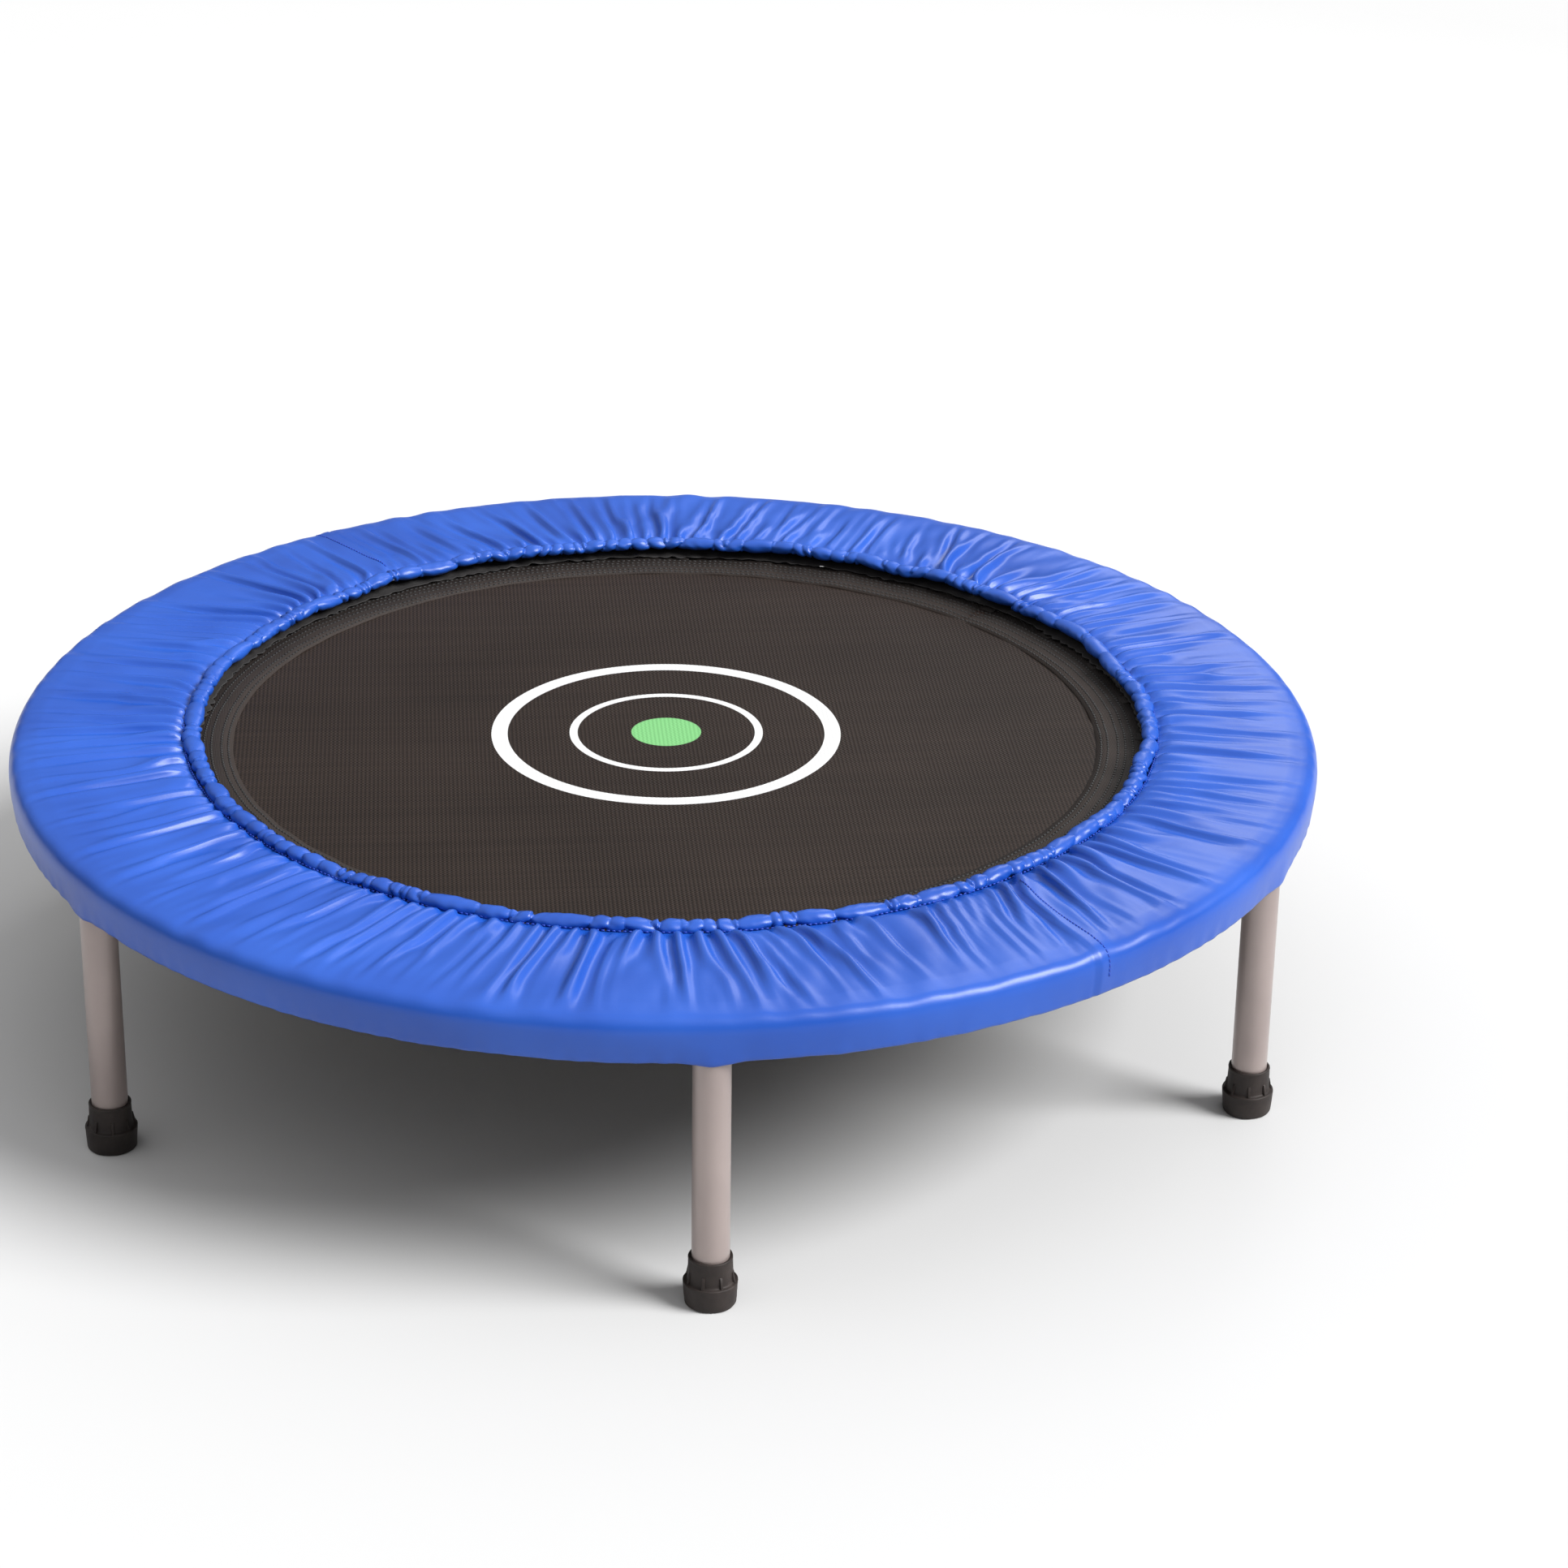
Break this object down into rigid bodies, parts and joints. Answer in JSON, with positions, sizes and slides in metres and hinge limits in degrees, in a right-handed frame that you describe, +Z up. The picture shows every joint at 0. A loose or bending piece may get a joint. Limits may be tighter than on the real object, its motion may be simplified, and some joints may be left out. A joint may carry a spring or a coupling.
{
  "type": "mini trampoline",
  "caption": "Round low trampoline for indoor jumping, with a woven mat on coil springs, a gathered fabric pad over the springs and screw-in legs with rubber feet.",
  "frame": {"origin": "floor level at the centre of the round frame", "axes": "+Z up along the frame's centre line; leg 1 stands on -Y; +X to the right as seen from in front of leg 1"},
  "size_m": [0.9652, 0.9716, 0.2159],
  "materials": {
    "painted_steel": "satin taupe-grey paint",
    "zinc_steel": "bright zinc plate",
    "foot_rubber": "matt moulded",
    "mat_weave": "woven polypropylene mesh",
    "webbing": "stitched webbing with steel V-rings",
    "blue_cover": "semi-gloss coated, gathered on elastic",
    "black_cloth": "matt non-woven",
    "foam": "closed-cell foam sheet",
    "elastic": "braided elastic"
  },
  "bodies": {
    "frame": {"frame_ring": "painted_steel", "pad_cover": "blue_cover", "pad_foam": "foam", "pad_backing": "black_cloth", "inner_elastic": "elastic", "skirt_elastic": "elastic"},
    "mat": {"jump_mat": "mat_weave", "mat_edge_webbing": "webbing"},
    "leg_1": {"leg_tube_1": "painted_steel", "leg_stud_1": "zinc_steel", "rubber_foot_1": "foot_rubber"},
    "leg_2": {"leg_tube_2": "painted_steel", "leg_stud_2": "zinc_steel", "rubber_foot_2": "foot_rubber"},
    "leg_3": {"leg_tube_3": "painted_steel", "leg_stud_3": "zinc_steel", "rubber_foot_3": "foot_rubber"},
    "leg_4": {"leg_tube_4": "painted_steel", "leg_stud_4": "zinc_steel", "rubber_foot_4": "foot_rubber"},
    "leg_5": {"leg_tube_5": "painted_steel", "leg_stud_5": "zinc_steel", "rubber_foot_5": "foot_rubber"},
    "leg_6": {"leg_tube_6": "painted_steel", "leg_stud_6": "zinc_steel", "rubber_foot_6": "foot_rubber"},
    "spring_01_body": {"spring_01": "zinc_steel"},
    "spring_02_body": {"spring_02": "zinc_steel"},
    "spring_03_body": {"spring_03": "zinc_steel"},
    "spring_04_body": {"spring_04": "zinc_steel"},
    "spring_05_body": {"spring_05": "zinc_steel"},
    "spring_06_body": {"spring_06": "zinc_steel"},
    "spring_07_body": {"spring_07": "zinc_steel"},
    "spring_08_body": {"spring_08": "zinc_steel"},
    "spring_09_body": {"spring_09": "zinc_steel"},
    "spring_10_body": {"spring_10": "zinc_steel"},
    "spring_11_body": {"spring_11": "zinc_steel"},
    "spring_12_body": {"spring_12": "zinc_steel"},
    "spring_13_body": {"spring_13": "zinc_steel"},
    "spring_14_body": {"spring_14": "zinc_steel"},
    "spring_15_body": {"spring_15": "zinc_steel"},
    "spring_16_body": {"spring_16": "zinc_steel"},
    "spring_17_body": {"spring_17": "zinc_steel"},
    "spring_18_body": {"spring_18": "zinc_steel"},
    "spring_19_body": {"spring_19": "zinc_steel"},
    "spring_20_body": {"spring_20": "zinc_steel"},
    "spring_21_body": {"spring_21": "zinc_steel"},
    "spring_22_body": {"spring_22": "zinc_steel"},
    "spring_23_body": {"spring_23": "zinc_steel"},
    "spring_24_body": {"spring_24": "zinc_steel"},
    "spring_25_body": {"spring_25": "zinc_steel"},
    "spring_26_body": {"spring_26": "zinc_steel"},
    "spring_27_body": {"spring_27": "zinc_steel"},
    "spring_28_body": {"spring_28": "zinc_steel"},
    "spring_29_body": {"spring_29": "zinc_steel"},
    "spring_30_body": {"spring_30": "zinc_steel"},
    "spring_31_body": {"spring_31": "zinc_steel"},
    "spring_32_body": {"spring_32": "zinc_steel"}
  },
  "joints": [
    {"name": "mat_bounce", "type": "slide", "parent": "frame", "child": "mat", "axis": [0, 0, 1], "range_m": [-0.025, 0]},
    {"name": "leg_1_withdraw", "type": "slide", "parent": "frame", "child": "leg_1", "axis": [0, 0, 1], "range_m": [-0.03, 0]},
    {"name": "leg_2_withdraw", "type": "slide", "parent": "frame", "child": "leg_2", "axis": [0, 0, 1], "range_m": [-0.03, 0]},
    {"name": "leg_3_withdraw", "type": "slide", "parent": "frame", "child": "leg_3", "axis": [0, 0, 1], "range_m": [-0.03, 0]},
    {"name": "leg_4_withdraw", "type": "slide", "parent": "frame", "child": "leg_4", "axis": [0, 0, 1], "range_m": [-0.03, 0]},
    {"name": "leg_5_withdraw", "type": "slide", "parent": "frame", "child": "leg_5", "axis": [0, 0, 1], "range_m": [-0.03, 0]},
    {"name": "leg_6_withdraw", "type": "slide", "parent": "frame", "child": "leg_6", "axis": [0, 0, 1], "range_m": [-0.03, 0]},
    {"name": "spring_01_swing", "type": "hinge", "parent": "frame", "child": "spring_01_body", "pos_m": [0.04499, -0.45679, 0.205], "axis": [0.9952, 0.098, 0], "range_deg": [-16.5, 0]},
    {"name": "spring_02_swing", "type": "hinge", "parent": "frame", "child": "spring_02_body", "pos_m": [0.13324, -0.43924, 0.205], "axis": [0.9569, 0.2903, 0], "range_deg": [-16.5, 0]},
    {"name": "spring_03_swing", "type": "hinge", "parent": "frame", "child": "spring_03_body", "pos_m": [0.21637, -0.4048, 0.205], "axis": [0.8819, 0.4714, 0], "range_deg": [-16.5, 0]},
    {"name": "spring_04_swing", "type": "hinge", "parent": "frame", "child": "spring_04_body", "pos_m": [0.29119, -0.35481, 0.205], "axis": [0.773, 0.6344, 0], "range_deg": [-16.5, 0]},
    {"name": "spring_05_swing", "type": "hinge", "parent": "frame", "child": "spring_05_body", "pos_m": [0.35481, -0.29119, 0.205], "axis": [0.6344, 0.773, 0], "range_deg": [-16.5, 0]},
    {"name": "spring_06_swing", "type": "hinge", "parent": "frame", "child": "spring_06_body", "pos_m": [0.4048, -0.21637, 0.205], "axis": [0.4714, 0.8819, 0], "range_deg": [-16.5, 0]},
    {"name": "spring_07_swing", "type": "hinge", "parent": "frame", "child": "spring_07_body", "pos_m": [0.43924, -0.13324, 0.205], "axis": [0.2903, 0.9569, 0], "range_deg": [-16.5, 0]},
    {"name": "spring_08_swing", "type": "hinge", "parent": "frame", "child": "spring_08_body", "pos_m": [0.45679, -0.04499, 0.205], "axis": [0.098, 0.9952, 0], "range_deg": [-16.5, 0]},
    {"name": "spring_09_swing", "type": "hinge", "parent": "frame", "child": "spring_09_body", "pos_m": [0.45679, 0.04499, 0.205], "axis": [-0.098, 0.9952, 0], "range_deg": [-16.5, 0]},
    {"name": "spring_10_swing", "type": "hinge", "parent": "frame", "child": "spring_10_body", "pos_m": [0.43924, 0.13324, 0.205], "axis": [-0.2903, 0.9569, 0], "range_deg": [-16.5, 0]},
    {"name": "spring_11_swing", "type": "hinge", "parent": "frame", "child": "spring_11_body", "pos_m": [0.4048, 0.21637, 0.205], "axis": [-0.4714, 0.8819, 0], "range_deg": [-16.5, 0]},
    {"name": "spring_12_swing", "type": "hinge", "parent": "frame", "child": "spring_12_body", "pos_m": [0.35481, 0.29119, 0.205], "axis": [-0.6344, 0.773, 0], "range_deg": [-16.5, 0]},
    {"name": "spring_13_swing", "type": "hinge", "parent": "frame", "child": "spring_13_body", "pos_m": [0.29119, 0.35481, 0.205], "axis": [-0.773, 0.6344, 0], "range_deg": [-16.5, 0]},
    {"name": "spring_14_swing", "type": "hinge", "parent": "frame", "child": "spring_14_body", "pos_m": [0.21637, 0.4048, 0.205], "axis": [-0.8819, 0.4714, 0], "range_deg": [-16.5, 0]},
    {"name": "spring_15_swing", "type": "hinge", "parent": "frame", "child": "spring_15_body", "pos_m": [0.13324, 0.43924, 0.205], "axis": [-0.9569, 0.2903, 0], "range_deg": [-16.5, 0]},
    {"name": "spring_16_swing", "type": "hinge", "parent": "frame", "child": "spring_16_body", "pos_m": [0.04499, 0.45679, 0.205], "axis": [-0.9952, 0.098, 0], "range_deg": [-16.5, 0]},
    {"name": "spring_17_swing", "type": "hinge", "parent": "frame", "child": "spring_17_body", "pos_m": [-0.04499, 0.45679, 0.205], "axis": [-0.9952, -0.098, 0], "range_deg": [-16.5, 0]},
    {"name": "spring_18_swing", "type": "hinge", "parent": "frame", "child": "spring_18_body", "pos_m": [-0.13324, 0.43924, 0.205], "axis": [-0.9569, -0.2903, 0], "range_deg": [-16.5, 0]},
    {"name": "spring_19_swing", "type": "hinge", "parent": "frame", "child": "spring_19_body", "pos_m": [-0.21637, 0.4048, 0.205], "axis": [-0.8819, -0.4714, 0], "range_deg": [-16.5, 0]},
    {"name": "spring_20_swing", "type": "hinge", "parent": "frame", "child": "spring_20_body", "pos_m": [-0.29119, 0.35481, 0.205], "axis": [-0.773, -0.6344, 0], "range_deg": [-16.5, 0]},
    {"name": "spring_21_swing", "type": "hinge", "parent": "frame", "child": "spring_21_body", "pos_m": [-0.35481, 0.29119, 0.205], "axis": [-0.6344, -0.773, 0], "range_deg": [-16.5, 0]},
    {"name": "spring_22_swing", "type": "hinge", "parent": "frame", "child": "spring_22_body", "pos_m": [-0.4048, 0.21637, 0.205], "axis": [-0.4714, -0.8819, 0], "range_deg": [-16.5, 0]},
    {"name": "spring_23_swing", "type": "hinge", "parent": "frame", "child": "spring_23_body", "pos_m": [-0.43924, 0.13324, 0.205], "axis": [-0.2903, -0.9569, 0], "range_deg": [-16.5, 0]},
    {"name": "spring_24_swing", "type": "hinge", "parent": "frame", "child": "spring_24_body", "pos_m": [-0.45679, 0.04499, 0.205], "axis": [-0.098, -0.9952, 0], "range_deg": [-16.5, 0]},
    {"name": "spring_25_swing", "type": "hinge", "parent": "frame", "child": "spring_25_body", "pos_m": [-0.45679, -0.04499, 0.205], "axis": [0.098, -0.9952, 0], "range_deg": [-16.5, 0]},
    {"name": "spring_26_swing", "type": "hinge", "parent": "frame", "child": "spring_26_body", "pos_m": [-0.43924, -0.13324, 0.205], "axis": [0.2903, -0.9569, 0], "range_deg": [-16.5, 0]},
    {"name": "spring_27_swing", "type": "hinge", "parent": "frame", "child": "spring_27_body", "pos_m": [-0.4048, -0.21637, 0.205], "axis": [0.4714, -0.8819, 0], "range_deg": [-16.5, 0]},
    {"name": "spring_28_swing", "type": "hinge", "parent": "frame", "child": "spring_28_body", "pos_m": [-0.35481, -0.29119, 0.205], "axis": [0.6344, -0.773, 0], "range_deg": [-16.5, 0]},
    {"name": "spring_29_swing", "type": "hinge", "parent": "frame", "child": "spring_29_body", "pos_m": [-0.29119, -0.35481, 0.205], "axis": [0.773, -0.6344, 0], "range_deg": [-16.5, 0]},
    {"name": "spring_30_swing", "type": "hinge", "parent": "frame", "child": "spring_30_body", "pos_m": [-0.21637, -0.4048, 0.205], "axis": [0.8819, -0.4714, 0], "range_deg": [-16.5, 0]},
    {"name": "spring_31_swing", "type": "hinge", "parent": "frame", "child": "spring_31_body", "pos_m": [-0.13324, -0.43924, 0.205], "axis": [0.9569, -0.2903, 0], "range_deg": [-16.5, 0]},
    {"name": "spring_32_swing", "type": "hinge", "parent": "frame", "child": "spring_32_body", "pos_m": [-0.04499, -0.45679, 0.205], "axis": [0.9952, -0.098, 0], "range_deg": [-16.5, 0]}
  ],
  "couplings": [
    {"joint": "spring_01_swing", "follows": "mat_bounce", "rad_per_m": 11.2},
    {"joint": "spring_02_swing", "follows": "mat_bounce", "rad_per_m": 11.2},
    {"joint": "spring_03_swing", "follows": "mat_bounce", "rad_per_m": 11.2},
    {"joint": "spring_04_swing", "follows": "mat_bounce", "rad_per_m": 11.2},
    {"joint": "spring_05_swing", "follows": "mat_bounce", "rad_per_m": 11.2},
    {"joint": "spring_06_swing", "follows": "mat_bounce", "rad_per_m": 11.2},
    {"joint": "spring_07_swing", "follows": "mat_bounce", "rad_per_m": 11.2},
    {"joint": "spring_08_swing", "follows": "mat_bounce", "rad_per_m": 11.2},
    {"joint": "spring_09_swing", "follows": "mat_bounce", "rad_per_m": 11.2},
    {"joint": "spring_10_swing", "follows": "mat_bounce", "rad_per_m": 11.2},
    {"joint": "spring_11_swing", "follows": "mat_bounce", "rad_per_m": 11.2},
    {"joint": "spring_12_swing", "follows": "mat_bounce", "rad_per_m": 11.2},
    {"joint": "spring_13_swing", "follows": "mat_bounce", "rad_per_m": 11.2},
    {"joint": "spring_14_swing", "follows": "mat_bounce", "rad_per_m": 11.2},
    {"joint": "spring_15_swing", "follows": "mat_bounce", "rad_per_m": 11.2},
    {"joint": "spring_16_swing", "follows": "mat_bounce", "rad_per_m": 11.2},
    {"joint": "spring_17_swing", "follows": "mat_bounce", "rad_per_m": 11.2},
    {"joint": "spring_18_swing", "follows": "mat_bounce", "rad_per_m": 11.2},
    {"joint": "spring_19_swing", "follows": "mat_bounce", "rad_per_m": 11.2},
    {"joint": "spring_20_swing", "follows": "mat_bounce", "rad_per_m": 11.2},
    {"joint": "spring_21_swing", "follows": "mat_bounce", "rad_per_m": 11.2},
    {"joint": "spring_22_swing", "follows": "mat_bounce", "rad_per_m": 11.2},
    {"joint": "spring_23_swing", "follows": "mat_bounce", "rad_per_m": 11.2},
    {"joint": "spring_24_swing", "follows": "mat_bounce", "rad_per_m": 11.2},
    {"joint": "spring_25_swing", "follows": "mat_bounce", "rad_per_m": 11.2},
    {"joint": "spring_26_swing", "follows": "mat_bounce", "rad_per_m": 11.2},
    {"joint": "spring_27_swing", "follows": "mat_bounce", "rad_per_m": 11.2},
    {"joint": "spring_28_swing", "follows": "mat_bounce", "rad_per_m": 11.2},
    {"joint": "spring_29_swing", "follows": "mat_bounce", "rad_per_m": 11.2},
    {"joint": "spring_30_swing", "follows": "mat_bounce", "rad_per_m": 11.2},
    {"joint": "spring_31_swing", "follows": "mat_bounce", "rad_per_m": 11.2},
    {"joint": "spring_32_swing", "follows": "mat_bounce", "rad_per_m": 11.2}
  ]
}
